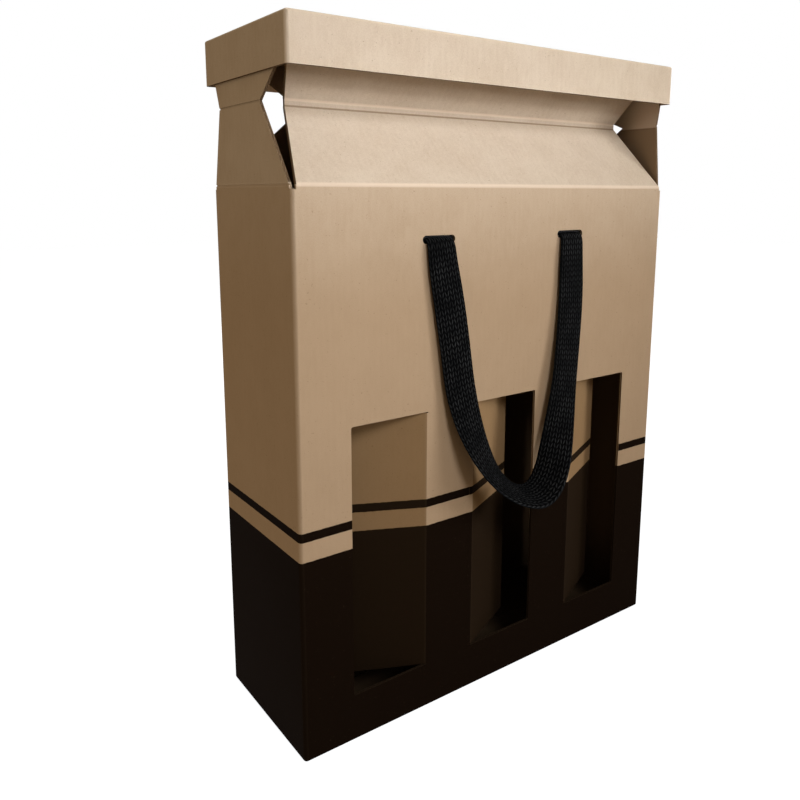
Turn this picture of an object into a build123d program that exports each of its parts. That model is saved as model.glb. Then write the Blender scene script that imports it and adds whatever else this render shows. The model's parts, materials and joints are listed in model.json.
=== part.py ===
"""Three-bottle carton of fluted kraft board: window flaps, a folded hourglass top, a lid and a strap handle.

Millimetres, +Z up, the front facing -Y, the origin on the floor under the middle of the carton.
"""

import os
from math import radians, tan

from build123d import *

os.makedirs("parts", exist_ok=True)

# Board and carton body
board = 1.5
body_width = 264.0
body_depth = 88.0
shoulder_height = 289.0
fold_radius = 2.0
bottom_fold_radius = 1.2
score_width = 0.9
score_depth = 0.4
overrun = 10.0

# Folded bottom: long outer flaps that meet under the carton, short flaps above them at its ends
bottom_seam = 0.8
end_flap_length = 46.0
end_flap_clearance = 1.2
end_flap_taper = 6.0

# Glued lap where the sheet closes, inside the back wall at its left corner
lap_width = 28.0
lap_taper = 8.0
lap_end_gap = 12.0

# Hourglass top: panels that fold in to a double-scored waist and flare out again to a rim under the lid
waist_rise = 38.5
waist_band = 3.0
rim_rise = 72.0
waist_inset = 30.0
rim_inset = 5.0
shoulder_notch = 2.5
front_waist_notch = 13.0
back_waist_notch = 34.0
rim_notch = 4.0
crease_radius = 0.8

# Notches in the short top panels, and how far above the waist these are wide again
left_front_notch = 30.0
left_back_notch = 11.0
right_front_notch = 6.0
right_back_notch = 56.0
side_rim_notch = 3.0
side_flare_rise = 22.0

# Windows in the front wall, and the flaps that are cut out of them
window_width = 48.0
window_height = 146.0
window_sill = 26.0
window_margin = 29.5
window_corner = 1.0
flap_clearance = 0.5
hinge_clearance = 0.1
flap_angle = 25.0

# Strap slots, in the front wall and in the back wall
slot_width = 21.0
slot_height = 4.2
slot_pitch = 97.0
slot_drop = 27.0

# Lid
lid_skirt = 22.5
lid_clearance = 0.4
lid_fold_radius = 1.2
lid_tab_length = 22.0
lid_tab_taper = 4.0
lid_tab_gap = 1.0
lid_tab_thickness = 0.75

# Strap and the bars that stop its ends behind the slots
strap_width = 20.0
strap_thickness = 2.2
strap_edge = 0.6
bar_length = 30.0
bar_height = 8.0
bar_thickness = 4.0
bend_share = 0.45

half_width = body_width / 2
half_depth = body_depth / 2
inner_half_width = half_width - board
inner_half_depth = half_depth - board
waist_height = shoulder_height + waist_rise
waist_low = waist_height - waist_band / 2
waist_high = waist_height + waist_band / 2
rim_height = shoulder_height + rim_rise
wall_top = shoulder_height - fold_radius
flap_hinge_y = -half_depth + board / 2
window_pitch = (body_width - 2 * window_margin - window_width) / 2
slot_level = shoulder_height - slot_drop

# A long top panel in profile, from the wall over the shoulder and the waist and on past the rim
neck_lean = (waist_inset - rim_inset) / (rim_height - waist_high)
panel_end = rim_height + overrun
panel_profile = [
    (-half_depth, wall_top - fold_radius),
    (-half_depth, shoulder_height),
    (-half_depth + waist_inset, waist_low),
    (-half_depth + waist_inset, waist_high),
    (-half_depth + waist_inset - neck_lean * (panel_end - waist_high), panel_end),
]
panel_folds = [fold_radius, crease_radius, crease_radius]


def long_panel(waist_notch):
    """The front's top panel: the folded profile, cut to an hourglass by a notch at each end of its waist."""
    right_end = [
        (half_width - shoulder_notch, wall_top - fold_radius),
        (half_width - shoulder_notch, shoulder_height),
        (half_width - waist_notch, waist_low),
        (half_width - waist_notch, waist_high),
        (half_width - rim_notch, rim_height),
    ]
    left_end = [(-across, up) for across, up in reversed(right_end)]
    with BuildPart() as panel:
        with BuildSketch(Plane.YZ.offset(-half_width)):
            with BuildLine():
                FilletPolyline(*panel_profile, radius=panel_folds)
                offset(amount=board, side=Side.RIGHT)
            make_face()
        extrude(amount=body_width)
        with BuildSketch(Plane.XZ):
            with BuildLine():
                Polyline(*right_end, *left_end, close=True)
            make_face()
        extrude(amount=body_depth, both=True, mode=Mode.INTERSECT)
    return panel.part


# Long top panels: the back one is the same fold turned round, with deeper notches
front_panel = long_panel(front_waist_notch)
back_panel = long_panel(back_waist_notch).mirror(Plane.XZ)


def panel_edge(waist_notch):
    """One upright edge of a short top panel, as distances from the panel's middle and heights."""
    return [
        (half_depth - shoulder_notch, wall_top - fold_radius),
        (half_depth - shoulder_notch, shoulder_height),
        (half_depth - waist_notch, waist_height),
        (half_depth - side_rim_notch, waist_height + side_flare_rise),
        (half_depth - side_rim_notch, rim_height),
    ]


def short_panel(wall_start, front_notch, back_notch):
    """A short top panel, flat and in line with its wall, which starts at this place across the carton."""
    front_edge = [(-across, up) for across, up in reversed(panel_edge(front_notch))]
    with BuildPart() as panel:
        with BuildSketch(Plane.YZ.offset(wall_start)):
            with BuildLine():
                Polyline(*panel_edge(back_notch), *front_edge, close=True)
            make_face()
        extrude(amount=board)
    return panel.part


# Short top panels: each is cut in deeper at one of its edges than at the other
left_panel = short_panel(-half_width, left_front_notch, left_back_notch)
right_panel = short_panel(inner_half_width, right_front_notch, right_back_notch)

# Carton: one folded sheet
with BuildPart() as carton:
    with BuildSketch(Plane.XY):
        RectangleRounded(body_width, body_depth, fold_radius)
    extrude(amount=wall_top)
    fillet(carton.edges().group_by(Axis.Z)[0], radius=bottom_fold_radius)
    with BuildSketch(Plane.XY.offset(board)):
        RectangleRounded(2 * inner_half_width, 2 * inner_half_depth, fold_radius - board)
    extrude(amount=shoulder_height, mode=Mode.SUBTRACT)
    # Butt seam between the long bottom flaps
    with BuildSketch(Plane.XY):
        Rectangle(2 * inner_half_width, bottom_seam)
    extrude(amount=board, mode=Mode.SUBTRACT)
    # Short bottom flaps
    with BuildSketch(Plane.XY.offset(board)) as end_flap_plan:
        with BuildLine():
            Polyline(
                (inner_half_width, inner_half_depth - end_flap_clearance),
                (inner_half_width - end_flap_length, inner_half_depth - end_flap_clearance - end_flap_taper),
                (inner_half_width - end_flap_length, -inner_half_depth + end_flap_clearance + end_flap_taper),
                (inner_half_width, -inner_half_depth + end_flap_clearance),
                close=True,
            )
        make_face()
        mirror(about=Plane.YZ)
    extrude(amount=board)
    # Top panels
    add(front_panel)
    add(back_panel)
    add(left_panel)
    add(right_panel)
    # Glued lap
    with BuildSketch(Plane.XZ.offset(-inner_half_depth)):
        with BuildLine():
            Polyline(
                (-inner_half_width, lap_end_gap),
                (-inner_half_width + lap_width, lap_end_gap + lap_taper),
                (-inner_half_width + lap_width, wall_top - lap_end_gap - lap_taper),
                (-inner_half_width, wall_top - lap_end_gap),
                close=True,
            )
        make_face()
    extrude(amount=board)
    # Windows
    with BuildSketch(Plane.XZ.offset(half_depth)):
        with Locations((0, window_sill + window_height / 2)):
            with GridLocations(window_pitch, 0, 3, 1):
                RectangleRounded(window_width, window_height, window_corner)
    extrude(amount=-2 * board, mode=Mode.SUBTRACT)
    # Strap slots
    with BuildSketch(Plane.XZ):
        with Locations((0, slot_level)):
            with GridLocations(slot_pitch, 0, 2, 1):
                SlotOverall(slot_width, slot_height)
    extrude(amount=body_depth, both=True, mode=Mode.SUBTRACT)
    # Scores across the short panels, at the shoulder and at the waist
    for wall_plane in (Plane.YZ.offset(half_width), Plane.YZ.offset(-half_width)):
        into_wall = -score_depth if wall_plane.origin.X > 0 else score_depth
        with BuildSketch(wall_plane):
            for level in (shoulder_height, waist_height):
                with Locations((0, level)):
                    Rectangle(body_depth, score_width)
        extrude(amount=into_wall, mode=Mode.SUBTRACT)
carton.part.label = "carton"
export_step(carton.part, "parts/carton.step")


def window_flap(column, hinge_side):
    """A window's flap as folded in: hinge_side is -1 at the window's left edge and 1 at its right edge."""
    hinge_inset = board / 2 + hinge_clearance
    hinge_x = column * window_pitch + hinge_side * (window_width / 2 - hinge_inset)
    reach = window_width - hinge_inset - flap_clearance
    flap_foot = Vector(hinge_x, flap_hinge_y, window_sill + flap_clearance)
    flap_dir = Vector(-hinge_side, 0, 0).rotate(Axis.Z, -hinge_side * flap_angle)
    with BuildPart() as flap:
        with BuildSketch(Plane(origin=flap_foot, x_dir=flap_dir, z_dir=(0, 0, 1))):
            Circle(board / 2)
            with Locations((reach / 2, 0)):
                Rectangle(reach, board)
        extrude(amount=window_height - 2 * flap_clearance)
    return flap.part


# Window flaps: the left one folds about its right edge, the other two about their left edges
for flap_name, column, hinge_side in (
    ("window_flap_left", -1, 1),
    ("window_flap_middle", 0, -1),
    ("window_flap_right", 1, -1),
):
    flap_part = window_flap(column, hinge_side)
    flap_part.label = flap_name
    export_step(flap_part, f"parts/{flap_name}.step")

# Lid: a shallow folded tray with glued corner tabs, resting on the rim
lid_width = body_width + 2 * lid_clearance + 2 * board
lid_depth = body_depth + 2 * lid_clearance + 2 * board
lid_bottom = rim_height + board - lid_skirt
lid_inner_half_width = lid_width / 2 - board
lid_inner_half_depth = lid_depth / 2 - board
with BuildPart() as lid:
    with BuildSketch(Plane.XY.offset(lid_bottom)):
        RectangleRounded(lid_width, lid_depth, fold_radius)
    extrude(amount=lid_skirt)
    fillet(lid.edges().group_by(Axis.Z)[-1], radius=lid_fold_radius)
    with BuildSketch(Plane.XY.offset(lid_bottom)):
        RectangleRounded(2 * lid_inner_half_width, 2 * lid_inner_half_depth, fold_radius - board)
    extrude(amount=lid_skirt - board, mode=Mode.SUBTRACT)
    # Corner tabs, glued inside the long skirts
    with BuildSketch(Plane.XZ.offset(lid_inner_half_depth)) as tab_outline:
        with BuildLine():
            Polyline(
                (lid_inner_half_width, lid_bottom + lid_tab_gap),
                (lid_inner_half_width, rim_height),
                (lid_inner_half_width - lid_tab_length, rim_height),
                (lid_inner_half_width - lid_tab_length, lid_bottom + lid_tab_gap + lid_tab_taper),
                (lid_inner_half_width - lid_tab_length + lid_tab_taper, lid_bottom + lid_tab_gap),
                close=True,
            )
        make_face()
        mirror(about=Plane.YZ)
    tabs = extrude(amount=-lid_tab_thickness)
    mirror(tabs, about=Plane.XZ)
lid.part.label = "lid"
export_step(lid.part, "parts/lid.step")

# Strap: out of one slot, down in a loop that stands off the front, and back into the other.
# Its route on the right half: in from the slot's middle, out from the front wall, down from the slot.
strap_half_route = [
    (0.0, -board, 0.0),
    (0.0, 3.0, 0.0),
    (0.2, 4.0, 13.0),
    (1.5, 6.2, 43.0),
    (9.5, 11.0, 96.0),
    (35.0, 18.5, 148.0),
]
strap_route = [
    Vector(slot_pitch / 2 - inwards, -half_depth - outwards, slot_level - down)
    for inwards, outwards, down in strap_half_route
]
strap_route += [Vector(-point.X, point.Y, point.Z) for point in reversed(strap_route)]
strap_bends = []
for before, corner, after in zip(strap_route, strap_route[1:], strap_route[2:]):
    turn = (corner - before).get_angle(after - corner)
    shorter_run = min((corner - before).length, (after - corner).length)
    strap_bends.append(bend_share * shorter_run / tan(radians(turn / 2)))
print("strap bend radii:", [round(radius, 1) for radius in strap_bends])

with BuildPart() as handle_strap:
    with BuildLine() as strap_line:
        FilletPolyline(*strap_route, radius=strap_bends)
    with BuildSketch(Plane(origin=strap_route[0], x_dir=(1, 0, 0), z_dir=(0, -1, 0))):
        section = Rectangle(strap_width, strap_thickness)
        chamfer(section.vertices(), length=strap_edge)
    sweep()
strap_length = strap_line.wire().length
print("strap length:", round(strap_length, 1))
print("strap section from its volume:", round(handle_strap.part.volume / strap_length, 2))
handle_strap.part.label = "handle_strap"
export_step(handle_strap.part, "parts/handle_strap.step")

# Bars that stop the strap's ends inside the front wall
for bar_name, side in (("strap_bar_left", -1), ("strap_bar_right", 1)):
    with BuildPart() as strap_bar:
        with BuildSketch(Plane.XZ.offset(inner_half_depth)):
            with Locations((side * slot_pitch / 2, slot_level)):
                SlotOverall(bar_length, bar_height)
        extrude(amount=-bar_thickness)
    strap_bar.part.label = bar_name
    export_step(strap_bar.part, f"parts/{bar_name}.step")
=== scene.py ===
# %% [markdown]
# # A carton for three wine bottles
#
# The carton is one folded sheet of fluted kraft board. It has three windows whose flaps fold inwards, a
# pinched top under a lid, and a black braided strap. The solids come from the CAD model, so this lesson
# adds what a solid has not got: paper, print, the cut edge of the board, a real strap, light and a
# camera.

import json
import math

import bpy
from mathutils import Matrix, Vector


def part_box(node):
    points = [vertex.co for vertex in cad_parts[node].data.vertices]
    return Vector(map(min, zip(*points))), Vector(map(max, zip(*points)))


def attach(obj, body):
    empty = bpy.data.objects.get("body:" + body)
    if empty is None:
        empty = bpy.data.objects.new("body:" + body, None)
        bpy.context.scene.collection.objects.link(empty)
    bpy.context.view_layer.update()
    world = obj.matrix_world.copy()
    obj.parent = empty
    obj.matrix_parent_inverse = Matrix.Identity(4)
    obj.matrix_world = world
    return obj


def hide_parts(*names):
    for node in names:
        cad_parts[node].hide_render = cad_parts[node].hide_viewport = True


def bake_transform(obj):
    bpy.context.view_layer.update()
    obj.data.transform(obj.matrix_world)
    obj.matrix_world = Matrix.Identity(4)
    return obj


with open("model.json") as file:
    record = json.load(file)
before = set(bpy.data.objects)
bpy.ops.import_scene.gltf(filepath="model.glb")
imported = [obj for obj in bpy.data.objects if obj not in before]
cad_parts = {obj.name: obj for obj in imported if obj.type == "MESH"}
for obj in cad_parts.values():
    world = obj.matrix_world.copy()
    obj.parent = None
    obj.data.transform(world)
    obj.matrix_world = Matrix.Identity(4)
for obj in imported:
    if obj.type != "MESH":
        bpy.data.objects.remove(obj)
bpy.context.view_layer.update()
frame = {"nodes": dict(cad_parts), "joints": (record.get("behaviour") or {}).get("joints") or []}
nodes = frame["nodes"]
bpy.ops.object.select_all(action="DESELECT")
bpy.context.scene.view_settings.view_transform = "Standard"
print("solids:", ", ".join(sorted(nodes)))

# %% [markdown]
# ## The camera
#
# The photograph was taken from the front left, a little below the shoulder of the carton and close to it,
# so the front runs away strongly to the right. A small downward shift frames the carton without tilting
# its uprights more.

# %% Camera
camera_place = (-0.2920, -0.3516, 0.2846)
camera_azimuth = math.radians(35.44)
camera_pitch = math.radians(-10.07)
camera_lens = 34.38
camera_shift = -0.0875
nearest_seen = 0.01

bpy.ops.object.camera_add(
    location=camera_place, rotation=(math.radians(90) + camera_pitch, 0, -camera_azimuth)
)
camera = bpy.context.object
camera.data.lens = camera_lens
camera.data.shift_y = camera_shift
camera.data.clip_start = nearest_seen
bpy.context.scene.camera = camera
print("camera:", [round(value, 3) for value in camera.location])

# %% [markdown]
# ## Shader maths as Python sums
#
# A finish is easier to read as a formula than as a hundred lines that place nodes. The class below wraps
# one socket of a material. A sum or a product of wires adds Math nodes, and any other node comes from one
# method.


# %% A wire: one socket, with operators
class Wire:
    """One socket of a material, so that sums on wires become Math nodes."""

    def __init__(self, tree, socket):
        self.tree = tree
        self.socket = socket

    def node(self, kind, settings=None, inputs=None, output=0):
        """Adds a node: its settings first, then a value or a wire for each of its inputs."""
        made = self.tree.nodes.new(kind)
        for name, value in (settings or {}).items():
            setattr(made, name, value)
        for name, value in (inputs or {}).items():
            if isinstance(value, Wire):
                self.tree.links.new(value.socket, made.inputs[name])
            else:
                made.inputs[name].default_value = value
        return Wire(self.tree, made.outputs[output])

    def maths(self, operation, *others):
        """A Math node with this wire as its first value."""
        return self.node("ShaderNodeMath", {"operation": operation}, dict(enumerate((self, *others))))

    def swapped(self, operation, first):
        """A Math node with this wire as its second value."""
        return self.node("ShaderNodeMath", {"operation": operation}, {0: first, 1: self})

    def __add__(self, other):
        return self.maths("ADD", other)

    def __sub__(self, other):
        return self.maths("SUBTRACT", other)

    def __mul__(self, other):
        return self.maths("MULTIPLY", other)

    def __truediv__(self, other):
        return self.maths("DIVIDE", other)

    def __gt__(self, other):
        return self.maths("GREATER_THAN", other)

    def __lt__(self, other):
        return self.maths("LESS_THAN", other)

    def __abs__(self):
        return self.maths("ABSOLUTE")

    def __rsub__(self, other):
        return self.swapped("SUBTRACT", other)

    def __rtruediv__(self, other):
        return self.swapped("DIVIDE", other)

    __radd__ = __add__
    __rmul__ = __mul__

    def split(self):
        """The three parts of a vector."""
        return [self.node("ShaderNodeSeparateXYZ", {}, {0: self}, axis) for axis in range(3)]

    def step(self, low, high):
        """0 below low and 1 above high, with a smooth rise between them."""
        return self.node(
            "ShaderNodeMapRange",
            {"interpolation_type": "SMOOTHSTEP"},
            {"Value": self, "From Min": low, "From Max": high},
        )

    def noise(self, scale, detail=2.0, stretch=(1, 1, 1)):
        """Noise from 0 to 1 at this place, with its grains drawn out where stretch is small."""
        place = self.node("ShaderNodeMapping", {"vector_type": "POINT"}, {"Vector": self, "Scale": stretch})
        return place.node(
            "ShaderNodeTexNoise", {}, {"Vector": place, "Scale": scale, "Detail": detail}, "Fac"
        )

    def mix(self, first, second, blend="MIX"):
        """The first colour where this wire is 0, and where it is 1 the second, laid over it by blend."""
        settings = {"data_type": "RGBA", "blend_type": blend}
        return self.node("ShaderNodeMix", settings, {0: self, 6: first, 7: second}, 2)


print("wire operators:", [name for name in vars(Wire) if name.startswith("__") and name != "__init__"])


# %% A bare finish, and a bump
def new_finish(name):
    """A bare material: itself, its shader, and wires for a point's place and for its face's direction."""
    finish = bpy.data.materials.new(name)
    finish.use_nodes = True
    tree = finish.node_tree
    shader = tree.nodes["Principled BSDF"]
    coordinates = tree.nodes.new("ShaderNodeTexCoord")
    place = Wire(tree, coordinates.outputs["Object"])
    facing = Wire(tree, coordinates.outputs["Normal"])
    return finish, shader, place, facing


def feed(shader, socket, wire):
    """Links a wire to one socket of the shader."""
    wire.tree.links.new(wire.socket, shader.inputs[socket])


def emboss(shader, relief, strength=1.0):
    """Raises the surface by a wire of heights in metres."""
    heights = {"Height": relief, "Distance": 1.0, "Strength": strength}
    feed(shader, "Normal", relief.node("ShaderNodeBump", {}, heights))


def dress(node, finish):
    """Gives a CAD solid one finish all over."""
    slots = nodes[node].data.materials
    slots.clear()
    slots.append(finish)
    print(node, "wears", finish.name)


print("helpers for finishes:", new_finish.__name__, feed.__name__, emboss.__name__, dress.__name__)

# %% [markdown]
# ## Kraft board
#
# Kraft liner is brown paper: fibres that run one way, a soft mottle, a few dark specks, and a surface
# that goes slightly wavy over the flutes of the core. On its outside the lower part is printed almost
# black, with one thin stripe above. The print stops at every cut edge, where the core of the board shows.
#
# A picture could be wrapped round the sheet, but its pixels would show from close by. Formulas on the
# place of a point stay sharp and run on over every fold. So each piece of board tells the finish what
# they need: how far a point is on the outside, on a cut edge, on a fold that is worn and partly painted
# with highlight, and on a pressed crease line of painted shade, its place along the flutes, and its depth
# in the sheet.

# %% Sizes of the sheet, as in the CAD source but in metres
board = 0.0015
fold_radius = 0.002
body_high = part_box("carton")[1]
half_width = body_high[0]
half_depth = body_high[1]
shoulder_height = 0.289
waist_low = 0.326
waist_high = 0.329
print(f"carton {2 * half_width:.3f} by {2 * half_depth:.3f} m, {body_high[2]:.3f} m to its rim")

# %% [markdown]
# ### Texture of the liner
#
# Four patterns make a brown surface look like paper: fibres that are drawn out upwards, a fine grain,
# scattered specks, and the flutes of the core, which press through as faint upright waves. The first three
# are noise of different fineness, and the flutes are a sine along the sheet.

# %% Texture
fibre_scale = 420
fibre_stretch = (1, 1, 0.35)
grain_scale = 1500
speck_scale = 900
flute_pitch = 0.0034


def liner_texture(place, along):
    """Fibres, grain, specks and flutes at a place on the sheet."""
    fibres = place.noise(fibre_scale, 4, stretch=fibre_stretch)
    grain = place.noise(grain_scale, 2)
    specks = place.noise(speck_scale, 1).step(0.735, 0.765)
    flutes = (along * (2 * math.pi / flute_pitch)).maths("SINE")
    return fibres, grain, specks, flutes


print("flutes every", flute_pitch, "m")

# %% [markdown]
# ### Paper
#
# The photograph shows the paper paler towards the top of the front, and pale above the shoulder. The
# outside has some of that as painted light in its colour, and less on the sides. The inside is seen only
# through windows and notches. A few soft lamps can't repeat the light in there, so the lining has painted
# shade and light in its colour: nearly black at the floor, brown above, and pale past the waist.

# %% Paper
kraft_colour = (0.455, 0.330, 0.219, 1)
kraft_painted_light_colour = (0.628, 0.534, 0.430, 1)
kraft_shade_colour = (0.374, 0.263, 0.164, 1)
speck_colour = (0.200, 0.120, 0.065, 1)
inside_floor_painted_shade_colour = (0.055, 0.036, 0.021, 1)
inside_painted_shade_colour = (0.120, 0.078, 0.045, 1)
inside_slope_painted_shade_colour = (0.300, 0.210, 0.135, 1)
inside_top_painted_light_colour = (0.600, 0.480, 0.370, 1)
mottle_scale = 45
painted_light_from = 0.22
painted_light_to = 0.30
lining_painted_shade_to = 0.05


def paper_colour(place, facing, outside, fibres, grain, specks, flutes):
    """Brown liner with painted light towards the top outside, and a lining with painted shade and light
    inside.
    """
    height = place.split()[2]
    # Painted light: the outside grows paler towards the top, and less so on the sides.
    sideways = abs(facing.split()[0]) > 0.7
    painted_light_rise = height.step(painted_light_from, painted_light_to) * 0.45 + (height > shoulder_height) * 0.55
    paper = (painted_light_rise * (1 - sideways * 0.45)).mix(kraft_colour, kraft_painted_light_colour)

    mottle = place.noise(mottle_scale, 3)
    tone = (mottle - 0.5) * 0.60 + (fibres - 0.5) * 0.45 + (grain - 0.5) * 0.75 + flutes * 0.02
    paper = (tone * 0.8 + 0.12).maths("MAXIMUM", 0).mix(paper, kraft_shade_colour)
    paper = (specks * 0.35).mix(paper, speck_colour)

    # Painted shade and light on the inside: nearly black at the floor, dark up the walls, brown above the
    # shoulder, pale past the waist.
    lining_with_painted_shade = height.step(0.0, lining_painted_shade_to).mix(inside_floor_painted_shade_colour, inside_painted_shade_colour)
    lining_with_painted_shade = (height > shoulder_height).mix(lining_with_painted_shade, inside_slope_painted_shade_colour)
    lining_with_painted_shade = (height > waist_low).mix(lining_with_painted_shade, inside_top_painted_light_colour)
    return (1 - outside).mix(paper, lining_with_painted_shade)


print("paper grows paler from", painted_light_from, "to", painted_light_to, "m")

# %% [markdown]
# ### Print
#
# The printer lays a dark field over the lower part of the sheet and one thin stripe above it. Comparing the
# height of a point with three heights gives both. The edge of real ink follows the fibres, so their noise
# moves it by a fraction of a millimetre. On worn folds and over specks the ink is thinner.

# %% Print
print_colour = (0.0088, 0.0050, 0.0030, 1)
field_top = 0.1085
stripe_low = 0.1189
stripe_high = 0.1236
ragged_edge = 0.0005
rub_scale = 160


def print_masks(place, outside, cut, wear_and_highlight, fibres, specks):
    """Where the dark field lies, and how thick the ink is."""
    level = place.split()[2] + (fibres - 0.5) * ragged_edge
    field = level < field_top
    stripe = (level > stripe_low) * (level < stripe_high)
    printed = field.maths("MAXIMUM", stripe) * outside * (1 - cut)
    rubbed = wear_and_highlight * (0.6 + place.noise(rub_scale, 3) * 0.4)
    ink = printed * (1 - rubbed * 0.20) * (1 - specks * 0.03)
    return field, ink


print("print: a field up to", field_top, "m, and a stripe from", stripe_low, "to", stripe_high, "m")

# %% [markdown]
# ### Cut edge
#
# A cut through the board shows its two liners and, between them, the core in waves. Modelled flutes would
# need thousands of faces for less than two millimetres, so the depth in the sheet and the sine of the
# flutes tell here whether a point is paper or a gap between flutes, which gets painted shade. Above the
# shoulder the edge gets more painted shade, and in the printed field it takes the print's colour.

# %% Cut edge
cut_colour = (0.380, 0.275, 0.180, 1)
flute_gap_painted_shade_colour = (0.110, 0.070, 0.040, 1)
core_swing = board * 0.34
core_sheet = board * 0.10
liner_inside = board * 0.36


def edge_colour(place, depth, field, flutes):
    """Liners and core of a cut edge, with painted shade in the flute gaps and above the shoulder, and the
    print's colour in the printed field.
    """
    height = place.split()[2]
    core = abs(depth - (board / 2 + flutes * core_swing)) < core_sheet
    liner = (abs(depth - board / 2) > liner_inside).maths("MAXIMUM", core)
    # Painted shade in the gaps between the flutes.
    edge = liner.mix(flute_gap_painted_shade_colour, cut_colour)
    # More painted shade on the cut edges above the shoulder.
    edge = ((height > shoulder_height) * 0.7).mix(edge, flute_gap_painted_shade_colour)
    # In the printed field the edge takes the print's colour.
    return (field * 0.93).mix(edge, print_colour)


print(f"core swings by {1000 * core_swing:.2f} mm in a sheet of {1000 * board:.1f} mm")

# %% [markdown]
# ### The whole finish
#
# Every piece of board has the same finish, so it is one function. It lays colour on colour: paper, wear
# with painted highlight, crease lines of painted shade, print, and last the cut edge. A flap can also be
# given painted shade, which grows on its paper as the flap turns away from the front. The surface gets its
# fibres and grain, and a slow wave, because no sheet of board stays quite flat.

# %% The kraft finish
wear_and_highlight_colour = (0.760, 0.640, 0.520, 1)
crease_painted_shade_colour = (0.230, 0.150, 0.090, 1)
unfolded_cosine = 0.99
folded_cosine = 0.92
wave_scale = 14


def kraft_finish(name, masks, painted_shade_colour=None):
    """A finish for one piece of board; masks turns a point's place and direction into its masks."""
    finish, shader, place, facing = new_finish(name)
    outside, cut, wear_and_highlight, crease, along, depth = masks(place, facing)
    fibres, grain, specks, flutes = liner_texture(place, along)
    paper = paper_colour(place, facing, outside, fibres, grain, specks, flutes)
    field, ink = print_masks(place, outside, cut, wear_and_highlight, fibres, specks)
    # Painted shade on a folded flap's paper, and a slightly paler print, both growing with the fold.
    if painted_shade_colour:
        turned = place.node("ShaderNodeNewGeometry", {}, {}, "True Normal").split()[1]
        fold_painted_shade = 1 - abs(turned).step(folded_cosine, unfolded_cosine)
        paper = fold_painted_shade.mix(paper, painted_shade_colour, "MULTIPLY")
        ink = ink * (1 - fold_painted_shade * 0.03)

    # Wear on corners and folds, partly painted highlight on the folds.
    colour = (wear_and_highlight * 0.7).mix(paper, wear_and_highlight_colour)
    # Painted shade along the pressed crease line.
    if crease:
        colour = (crease * 0.7).mix(colour, crease_painted_shade_colour)
    colour = ink.mix(colour, print_colour)
    colour = cut.mix(colour, edge_colour(place, depth, field, flutes))
    feed(shader, "Base Color", colour)
    feed(shader, "Roughness", 0.80 - ink * 0.20 + (grain - 0.5) * 0.12)
    shader.inputs["Specular IOR Level"].default_value = 0.003

    wave = (place.noise(wave_scale, 1) - 0.5) * 0.0016
    relief = wave + flutes * 0.000006 + (fibres - 0.5) * 0.00004 + (grain - 0.5) * 0.00003
    emboss(shader, relief, 0.6)
    return finish


print("a flap's shade is full below a cosine of", folded_cosine)

# %% [markdown]
# ### The carton's masks
#
# The distance to the rounded outline of the walls tells the outside from the inside, also round the folded
# corners. Above the shoulder the panels lean, so there a face is inside where it looks towards the middle.
# Cut edges are the faces within the thickness of the sheet: in the windows they look along X or Z inside a
# long wall, and in the notched top they look across the panel that they end.
#
# The folds at the shoulder and at the top of the waist are worn pale, partly as painted highlight. The
# lower score of the waist is a pressed line of painted shade, which also shows on the inner faces of the
# side panels.

# %% Masks on the carton
corner_patch = 1e-9
inward_look = -0.004


def carton_masks(place, facing):
    """Masks for the folded sheet of the carton."""
    x, y, z = place.split()
    look_x, look_y = facing.split()[:2]
    past_x = (abs(x) - (half_width - fold_radius)).maths("MAXIMUM", 0)
    past_y = (abs(y) - (half_depth - fold_radius)).maths("MAXIMUM", 0)
    out = (past_x * past_x + past_y * past_y).maths("SQRT") - fold_radius
    on_body = z < shoulder_height - fold_radius
    on_side = abs(x) > half_width - board * 1.05
    inward = (x * look_x * on_side + y * look_y * (1 - on_side)) < inward_look
    upper = (z > shoulder_height - 2 * fold_radius) * (1 - inward)
    outside = (out > -board * 0.3).maths("MAXIMUM", upper)

    in_long_wall = (abs(y) > half_depth - board * 1.05) * (abs(x) < half_width - 2 * fold_radius)
    window_cut = in_long_wall * (abs(look_y) < 0.5) * on_body * (z > 2 * board)
    panel_cut = (abs(look_x) > 0.3) * (abs(x) < half_width - board * 1.1) * (z > shoulder_height)
    side_cut = (abs(look_x) < 0.3) * (abs(x) > half_width - board * 1.02) * (z > shoulder_height + 0.001)
    cut = window_cut.maths("MAXIMUM", panel_cut).maths("MAXIMUM", side_cut)

    corner = (past_x * past_y > corner_patch) * on_body
    # The shoulder and upper waist folds are pale as wear and partly as painted highlight.
    shoulder = 1 - abs(z - shoulder_height).step(0.0004, 0.0014)
    waist = (1 - abs(z - waist_high).step(0.0003, 0.0009)) * (1 - on_side)
    wear_and_highlight = (corner * 0.05).maths("MAXIMUM", shoulder * (1 - on_side * 0.7)).maths("MAXIMUM", waist)
    # A line of painted shade along the lower waist score, also on the side panels' inner faces.
    crease = (1 - abs(z - waist_low).step(0.0002, 0.0007)) * (1 - on_side * (1 - inward))

    along = x * (1 - on_side) + y * on_side
    depth = (half_depth - abs(y)) * (1 - on_side) + (half_width - abs(x)) * on_side
    return outside, cut, wear_and_highlight, crease, along, depth


dress("carton", kraft_finish("printed kraft, carton", carton_masks))

# %% [markdown]
# ### The lid's masks
#
# The lid is a plain tray of the same board. The print ends far below it, so the same finish leaves it
# plain. Its folds are a little worn and partly painted with highlight, and its skirt ends in a cut edge
# that shows from below.

# %% Masks on the lid
lid_low, lid_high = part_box("lid")


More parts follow.
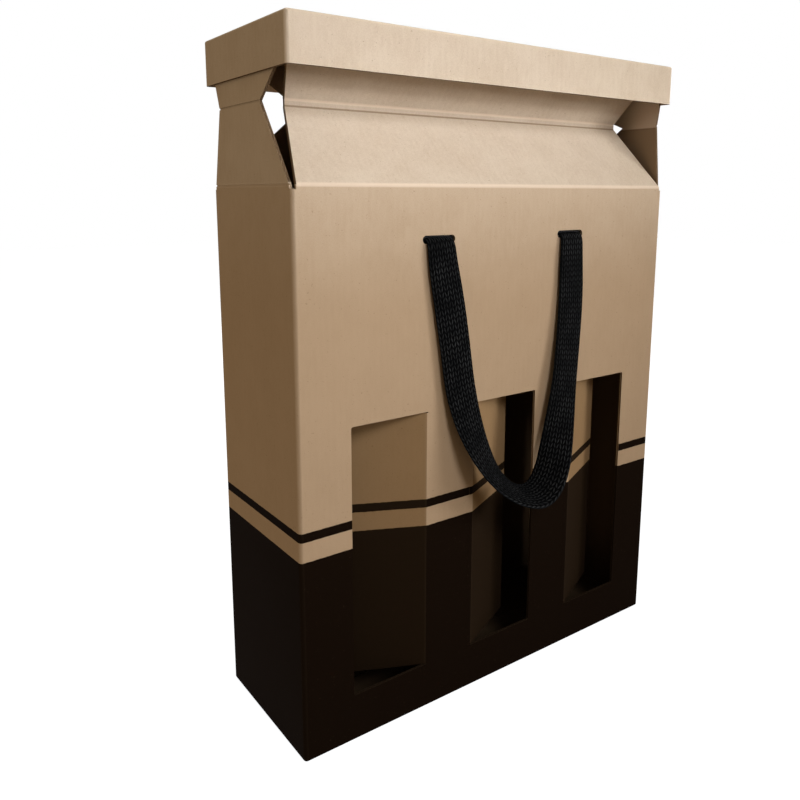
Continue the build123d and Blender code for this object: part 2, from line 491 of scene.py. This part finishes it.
def lid_masks(place, facing):
    """Masks for the lid, which has no pressed crease line."""
    x, y, z = place.split()
    look_z = facing.split()[2]
    past_x = (abs(x) - (lid_high[0] - fold_radius)).maths("MAXIMUM", 0)
    past_y = (abs(y) - (lid_high[1] - fold_radius)).maths("MAXIMUM", 0)
    out = (past_x * past_x + past_y * past_y).maths("SQRT") - fold_radius
    outside = (out > -board * 0.3).maths("MAXIMUM", z > lid_high[2] - board * 0.3)
    cut = (look_z < -0.5) * (z < lid_low[2] + board)
    corner = past_x * past_y > corner_patch
    # The top fold is pale as wear and partly as painted highlight.
    top_fold = (z - (lid_high[2] - board)).step(0, 0.0012) * (out > -board)
    wear_and_highlight = (corner * 0.6).maths("MAXIMUM", top_fold * 0.6)
    on_side = abs(x) > lid_high[0] - board * 1.05
    along = x * (1 - on_side) + y * on_side
    return outside, cut, wear_and_highlight, None, along, 0 - out


dress("lid", kraft_finish("kraft, lid", lid_masks))

# %% [markdown]
# ### The flaps' masks
#
# A flap is the piece that was cut out of its window, so the print goes on over it at the same height.
# Each flap is measured from its own crease: how far from it a point lies, and how deep in the sheet. The
# folded flaps are darker than the wall in the photograph, so their paper takes painted shade that grows
# with the fold, and a closed flap has the colour of the wall round it.

# %% Masks on the window flaps
flap_angle = math.radians(25)
# Painted shade that a folded flap's paper takes.
flap_painted_shade_colour = (0.65, 0.575, 0.45, 1)
hinges = {joint["child"]: joint["pos_m"] for joint in frame["joints"] if joint["type"] == "hinge"}


def flap_masks(crease, side):
    """Masks for a flap on this crease; side is -1 at a window's left edge and 1 at its right one."""
    away_x, away_y = -side * math.cos(flap_angle), math.sin(flap_angle)
    front_x, front_y = -side * math.sin(flap_angle), -math.cos(flap_angle)

    def masks(place, facing):
        x, y = place.split()[:2]
        look_x, look_y = facing.split()[:2]
        from_crease_x, from_crease_y = x - crease[0], y - crease[1]
        reach = from_crease_x * away_x + from_crease_y * away_y
        front = from_crease_x * front_x + from_crease_y * front_y
        looks_front = look_x * front_x + look_y * front_y
        outside = looks_front > 0.2
        cut = (abs(looks_front) < 0.5) * (reach > board)
        wear_and_highlight = (1 - reach.step(0.0003, 0.0014)) * 0.08
        return outside, cut, wear_and_highlight, None, reach, board / 2 - front

    return masks


flaps = {
    "window_flap_left": ("flap_left", 1),
    "window_flap_middle": ("flap_middle", -1),
    "window_flap_right": ("flap_right", -1),
}
for flap, (body, side) in flaps.items():
    masks = flap_masks(hinges[body], side)
    dress(flap, kraft_finish(f"printed kraft, {flap}", masks, flap_painted_shade_colour))

# %% [markdown]
# ### Liner over the creases
#
# In the CAD model a thin gap at each crease lets a flap swing. On the real sheet the outer liner runs on
# over the crease without a break. A thin strip stands for it here: flat on the wall, round the crease,
# and flat on the flap. It starts as a plane on the wall. A spin about the hinge and an extrusion carry
# its edge on to the flap, and Solidify gives it the thickness of paper.

# %% Shape of a crease strip
strip_lap = 0.0016
strip_lift = 0.00002
strip_sheet = 0.00005
strip_turns = 6
same_place = 1e-6


def strip_shape(flap, body, side):
    """The liner over one crease; side is -1 at a window's left edge and 1 at its right one."""
    hinge = Vector(hinges[body])
    low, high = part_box(flap)
    on_wall = board / 2 + strip_lap
    bpy.ops.object.select_all(action="DESELECT")
    bpy.ops.mesh.primitive_plane_add(
        size=1,
        location=(hinge.x + side * on_wall / 2, -half_depth - strip_lift, (low[2] + high[2]) / 2),
        rotation=(math.radians(90), 0, 0),
    )
    strip = bpy.context.object
    strip.name = f"crease_{body}"
    strip.scale = (on_wall, high[2] - low[2], 1)
    bpy.ops.object.transform_apply(location=True, rotation=True, scale=True)

    bpy.ops.object.mode_set(mode="EDIT")
    bpy.ops.mesh.select_mode(type="VERT")
    bpy.ops.mesh.select_all(action="DESELECT")
    bpy.ops.object.mode_set(mode="OBJECT")
    for vertex in strip.data.vertices:
        vertex.select = abs(vertex.co.x - hinge.x) < same_place
    bpy.ops.object.mode_set(mode="EDIT")
    bpy.ops.mesh.spin(steps=strip_turns, angle=-side * flap_angle, center=hinge, axis=(0, 0, 1))
    away = Vector((-side * math.cos(flap_angle), math.sin(flap_angle), 0)) * strip_lap
    bpy.ops.mesh.extrude_region_move(TRANSFORM_OT_translate={"value": away})
    bpy.ops.mesh.select_all(action="SELECT")
    bpy.ops.mesh.remove_doubles(threshold=same_place)
    bpy.ops.mesh.normals_make_consistent(inside=False)
    bpy.ops.object.mode_set(mode="OBJECT")
    if strip.data.polygons[0].normal.y > 0:
        strip.data.flip_normals()

    thickness = strip.modifiers.new("sheet", "SOLIDIFY")
    thickness.thickness = strip_sheet
    thickness.offset = 1
    bpy.ops.object.modifier_apply(modifier="sheet")
    return strip


print("crease strips lap", strip_lap, "m over the wall and the flap")

# %% [markdown] A strip wears the carton's finish on the wall's side of the crease and the flap's finish
# on the other.

# %% Crease strips
for flap, (body, side) in flaps.items():
    strip = strip_shape(flap, body, side)
    hinge = Vector(hinges[body])
    strip.data.materials.append(nodes["carton"].data.materials[0])
    strip.data.materials.append(nodes[flap].data.materials[0])
    for polygon in strip.data.polygons:
        polygon.material_index = int(side * (polygon.center.x - hinge.x) < 0)
    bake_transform(strip)
    print(strip.name, "bends between the carton and", body)

# %% [markdown]
# ## The strap
#
# The handle is a flat braid about 20 mm wide that comes out of one slot, hangs in a loop and goes back
# into the other. A flat strap bends easily over its face and hardly at all over its edge, so on its way
# down each side turns a quarter, and at the bottom of the loop the strap lies on its face.
#
# Its line is a smooth spline near that of the CAD solid. The points of the two sides differ a little,
# because the strap in the photograph hangs close to the wall and isn't quite even. Rings of a
# flat section then follow points that Blender reads from the spline.

# %% Route of the strap: inwards from the slot's middle, outwards from the wall, down from the slot
slot_half_pitch = 0.0485
slot_level = 0.262
left_route = [
    (0.0000, -0.0015, 0.0000),
    (0.0000, 0.0016, 0.0000),
    (0.0014, 0.0018, 0.0130),
    (0.0075, 0.0023, 0.0430),
    (0.0150, 0.0034, 0.0960),
    (0.0325, 0.0155, 0.1382),
]
right_route = [
    (0.0000, -0.0015, 0.0000),
    (0.0000, 0.0016, 0.0000),
    (0.0000, 0.0018, 0.0130),
    (-0.0006, 0.0023, 0.0430),
    (0.0062, 0.0053, 0.0960),
    (0.0262, 0.0150, 0.1528),
]


def from_slot(side, inwards, outwards, down):
    """A point of the route, measured from its slot; side is -1 at the left slot and 1 at the right one."""
    return Vector((side * (slot_half_pitch - inwards), -half_depth - outwards, slot_level - down))


left_side = [from_slot(-1, *point) for point in left_route]
right_side = [from_slot(1, *point) for point in right_route]
route = left_side + right_side[::-1]
print("strap route:", len(route), "points from slot to slot")

# %% Line of the strap
points_per_run = 40

line = bpy.data.curves.new("strap_line", "CURVE")
line.dimensions = "3D"
line.resolution_u = points_per_run
spline = line.splines.new("NURBS")
spline.points.add(len(route) - 1)
for control, point in zip(spline.points, route):
    control.co = (*point, 1)
spline.order_u = 3
spline.use_endpoint_u = True
line_object = bpy.data.objects.new("strap_line", line)
bpy.context.collection.objects.link(line_object)
line_mesh = bpy.data.meshes.new_from_object(line_object)
path = [vertex.co.copy() for vertex in line_mesh.vertices]
bpy.data.objects.remove(line_object)
bpy.data.meshes.remove(line_mesh)
strap_length = sum((after - before).length for before, after in zip(path, path[1:]))
print(f"strap: {len(path)} points, {strap_length:.4f} m long")

# %% [markdown]
# The section is a flat shape with rounded edges. Powers of a cosine and a sine draw it: the smaller the
# power, the squarer the shape. The strap is drawn together a little where it goes through its slots.

# %% Section of the strap, and its quarter turns
strap_width = 0.020
strap_thickness = 0.0022
section_points = 28
width_power = 0.5
thickness_power = 0.7
turn_share = 0.53
loop_tilt = math.radians(25)
squeeze_share = 0.14
squeezed_run_share = 0.14

section = []
for index in range(section_points):
    angle = 2 * math.pi * index / section_points
    across = math.copysign(abs(math.cos(angle)) ** width_power, math.cos(angle)) * strap_width / 2
    through = math.copysign(abs(math.sin(angle)) ** thickness_power, math.sin(angle)) * strap_thickness / 2
    section.append((across, through))


def width_direction(share):
    """Direction across the strap, from its left end at 0 to its right end at 1."""
    from_middle = max(-1.0, min(1.0, (2 * share - 1) / turn_share))
    turn = math.sin(from_middle * math.pi / 2) * math.pi / 2
    return Vector((math.sin(turn), -math.cos(turn), -math.cos(turn) * math.tan(loop_tilt)))


def width_share(share):
    """How much of its full width the strap has: its ends are drawn together in the slots."""
    from_end = min(share, 1 - share) / squeezed_run_share
    return 1 - squeeze_share * max(0.0, 1 - from_end) ** 2


print("strap section:", section_points, "points,", strap_width, "by", strap_thickness, "m")

# %% [markdown]
# The mesh is one ring of the section at each point of the line, with faces between the rings and one
# across each end. Its UV map holds real lengths: the way along the strap, and the way round it. The
# braid's pattern can then follow every turn.

# %% Rings of the strap
verts, stations, walked = [], [], 0.0
for index, point in enumerate(path):
    before, after = path[max(index - 1, 0)], path[min(index + 1, len(path) - 1)]
    heading = (after - before).normalized()
    walked += (point - before).length
    share = min(walked / strap_length, 1.0)
    across = width_direction(share)
    across = (across - heading * across.dot(heading)).normalized()
    through = across.cross(heading)
    across *= width_share(share)
    stations.append(walked)
    verts += [point + across * side + through * face for side, face in section]

girth = [0.0]
for index in range(section_points):
    first, second = section[index], section[(index + 1) % section_points]
    girth.append(girth[-1] + math.dist(first, second))
print(f"strap girth: {girth[-1]:.4f} m")

# %% Strap mesh, with its length and girth as a UV map
faces, uvs = [], []
for ring in range(len(path) - 1):
    for index in range(section_points):
        beside = (index + 1) % section_points
        low, high = ring * section_points, (ring + 1) * section_points
        faces.append((low + index, low + beside, high + beside, high + index))
        uvs += [
            (stations[ring], girth[index]),
            (stations[ring], girth[index + 1]),
            (stations[ring + 1], girth[index + 1]),
            (stations[ring + 1], girth[index]),
        ]
faces.append(tuple(range(section_points))[::-1])
faces.append(tuple(range((len(path) - 1) * section_points, len(path) * section_points)))
uvs += [(0.0, 0.0)] * (2 * section_points)

strap_mesh = bpy.data.meshes.new("braided_strap")
strap_mesh.from_pydata(verts, [], faces)
weave_map = strap_mesh.uv_layers.new(name="weave")
for loop, uv in zip(weave_map.data, uvs):
    loop.uv = uv
strap_mesh.polygons.foreach_set("use_smooth", [True] * len(strap_mesh.polygons))
strap = bpy.data.objects.new("braided_strap", strap_mesh)
bpy.context.collection.objects.link(strap)
print("strap faces:", len(faces))

# %% [markdown]
# The braid is made of slanting stitches in columns that lean in turn to one side and to the other.
# Thousands of modelled stitches would be heavy, so a formula on the UV map gives each stitch a rounded
# top in the bump, and in the colour a painted highlight on its top and painted shade in the gaps. Along
# the strap's two edges the yarn has a painted sheen.

# %% The braid finish
column_width = 0.0018
stitch_pitch = 0.0031
stitch_lean = 0.9
stitch_height = 0.00055
braid_gap_painted_shade_colour = (0.0006, 0.0007, 0.0009, 1)
braid_yarn_and_highlight_colour = (0.0230, 0.0240, 0.0255, 1)
braid_edge_painted_sheen_colour = (0.0230, 0.0270, 0.0330, 1)


def braid_finish(name):
    """Black yarn in slanting stitches, with painted highlights, painted shade in the gaps and a painted
    sheen on the edges.
    """
    finish, shader, place, _ = new_finish(name)
    run, around = place.node("ShaderNodeUVMap", {"uv_map": "weave"}).split()[:2]
    column = around / column_width
    number = column.maths("FLOOR")
    across = column - number - 0.5
    leaning = (number * 0.5).maths("FRACT") * 4 - 1
    stitch = run / stitch_pitch + leaning * across * stitch_lean
    along = stitch.maths("FRACT") - 0.5
    bulge = 1 - (across * across * 3.4 + along * along * 3.0)
    bulge = bulge.maths("MAXIMUM", 0)

    hair = place.noise(2600, 2)
    patches = place.noise(120, 2)
    # Painted highlight on the stitch tops, and painted shade in the gaps between them.
    stitch_painted_highlight = bulge.step(0.45, 0.95) * (0.35 + patches.step(0.3, 0.7) * 0.65)
    colour = stitch_painted_highlight.mix(braid_gap_painted_shade_colour, braid_yarn_and_highlight_colour)
    half_girth = girth[-1] / 2
    from_edge = abs((around / half_girth + 0.5).maths("FRACT") - 0.5) * half_girth
    # A painted sheen along the strap's two edges.
    colour = ((1 - from_edge.step(0.0004, 0.0014)) * 0.15).mix(colour, braid_edge_painted_sheen_colour)
    feed(shader, "Base Color", colour)
    feed(shader, "Roughness", 0.72 - bulge * 0.22 + (hair - 0.5) * 0.2)
    shader.inputs["Specular IOR Level"].default_value = 0.012
    emboss(shader, bulge * stitch_height + (hair - 0.5) * 0.00004)
    return finish


print("braid:", stitch_pitch, "m from stitch to stitch")

# %% [markdown] The strap rides on the carton and takes the place of the plain CAD strap.

# %% The strap as a cord
strap_mesh.materials.append(braid_finish("black braid"))
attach(strap, "carton")
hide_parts("handle_strap")
print(strap.name, "stands for handle_strap")

# %% [markdown]
# ## Stop bars
#
# Behind the wall each end of the strap is held by a small moulded bar. It only shows from inside, and a
# fine bump and a slightly uneven gloss are enough to tell moulded plastic from board.

# %% Moulded plastic
plastic_colour = (0.010, 0.010, 0.011, 1)
plastic_pale_colour = (0.022, 0.022, 0.024, 1)


def moulded_finish(name):
    """Black plastic with a fine grain."""
    finish, shader, place, _ = new_finish(name)
    cloud = place.noise(260, 3)
    grain = place.noise(3200, 2)
    feed(shader, "Base Color", cloud.mix(plastic_colour, plastic_pale_colour))
    feed(shader, "Roughness", 0.38 + cloud * 0.18)
    shader.inputs["Specular IOR Level"].default_value = 0.02
    emboss(shader, grain * 0.00002)
    return finish


plastic = moulded_finish("moulded black plastic")
dress("strap_bar_left", plastic)
dress("strap_bar_right", plastic)

# %% [markdown]
# ## Floor and background
#
# The photograph has a white ground with almost no shadow. The floor is pale to the light that falls on
# it, but to the eye it glows almost white by itself. The world does the same: it is white to the eye, and
# a weak warm fill to everything else. A Light Path node tells the two kinds of ray apart.

# %% Floor
floor_size = 8.0
floor_colour = (0.50, 0.44, 0.37, 1)
glow_colour = (0.935, 0.95, 0.97, 1)
dull_colour = (0.30, 0.30, 0.30, 1)

bpy.ops.object.select_all(action="DESELECT")
bpy.ops.mesh.primitive_plane_add(size=floor_size, location=(0, 0, 0))
floor = bpy.context.object
floor.name = "floor"

floor_finish, floor_shader, floor_place, _ = new_finish("pale floor")
floor_shader.inputs["Base Color"].default_value = floor_colour
floor_shader.inputs["Roughness"].default_value = 0.9
floor_shader.inputs["Specular IOR Level"].default_value = 0.1


def seen(wire):
    """1 for rays that show the ground to the eye, straight or in a reflection."""
    kinds = ("Camera", "Glossy", "Transmission")
    rays = [wire.node("ShaderNodeLightPath", {}, {}, f"Is {kind} Ray") for kind in kinds]
    return rays[0].maths("MAXIMUM", rays[1]).maths("MAXIMUM", rays[2])


tree = floor_finish.node_tree
glow = floor_place.node("ShaderNodeEmission", {}, {"Color": glow_colour, "Strength": 1.0}, "Emission")
dull = floor_place.node("ShaderNodeBsdfDiffuse", {}, {"Color": dull_colour}, "BSDF")
shown = floor_place.node("ShaderNodeAddShader", {}, {0: glow, 1: dull}, "Shader")
lit = Wire(tree, floor_shader.outputs["BSDF"])
ground = floor_place.node("ShaderNodeMixShader", {}, {0: seen(floor_place), 1: lit, 2: shown}, "Shader")
tree.links.new(ground.socket, tree.nodes["Material Output"].inputs["Surface"])
floor.data.materials.append(floor_finish)
print("floor:", floor_size, "m square")

# %% World
fill_strength = 0.23
fill_colour = (1.0, 0.77, 0.49, 1)

world = bpy.data.worlds.new("studio")
bpy.context.scene.world = world
world.use_nodes = True
tree = world.node_tree
backdrop = tree.nodes["Background"]
backdrop.inputs["Color"].default_value = (1, 1, 1, 1)
start = Wire(tree, backdrop.outputs["Background"])
warm_light = {"Color": fill_colour, "Strength": fill_strength}
fill = start.node("ShaderNodeBackground", {}, warm_light, "Background")
sky = start.node("ShaderNodeMixShader", {}, {0: seen(start), 1: fill, 2: start}, "Shader")
tree.links.new(sky.socket, tree.nodes["World Output"].inputs["Surface"])
print("fill strength:", fill_strength)

# %% [markdown]
# ## Lamps
#
# The front of the carton is bright at the top and grows darker downwards and to the right. A broad key
# lamp stands low on the right for it, and its narrow spread leaves the lower part dim. A thin lamp lights
# the neck under the lid, which the key can't reach. One fill in front and above softens the strap's
# shadow, a warm one keeps the left side brown, and one behind shows the back of the carton in other
# views.


# %% Lamps
def soft_lamp(name, place, target, size, spread, power, colour=(1, 1, 1)):
    """A lamp of this width and height, turned to a target. A narrow spread dims what lies beside it."""
    bpy.ops.object.light_add(type="AREA", location=place)
    lamp = bpy.context.object
    lamp.name = name
    lamp.rotation_euler = (Vector(target) - Vector(place)).to_track_quat("-Z", "Y").to_euler()
    lamp.data.shape = "RECTANGLE"
    lamp.data.size, lamp.data.size_y = size
    lamp.data.spread = math.radians(spread)
    lamp.data.energy = power
    lamp.data.color = colour
    lamp.visible_camera = False
    print(name, "at", place, "with", power, "W")


soft_lamp("key", (0.88, -0.90, 0.43), (-0.38, -0.05, 0.33), (0.70, 0.28), 48, 1.30)
soft_lamp("top_light", (0.20, -0.75, 0.48), (0.10, -0.03, 0.334), (0.5, 0.04), 14, 0.037)
soft_lamp("front_fill", (-0.10, -0.80, 0.74), (-0.05, -0.04, 0.20), (0.3, 0.3), 50, 0.33)
soft_lamp("left_fill", (-1.3, 0.25, 0.60), (-0.13, 0, 0.42), (0.8, 0.8), 120, 0.93, (1, 0.85, 0.64))
soft_lamp("back_fill", (0.4, 1.2, 0.8), (0, 0, 0.2), (0.8, 0.8), 180, 9.0)

# %% [markdown]
# The dressed model has to stay inside the box of the solids, apart from the little that the strap may stand
# proud.
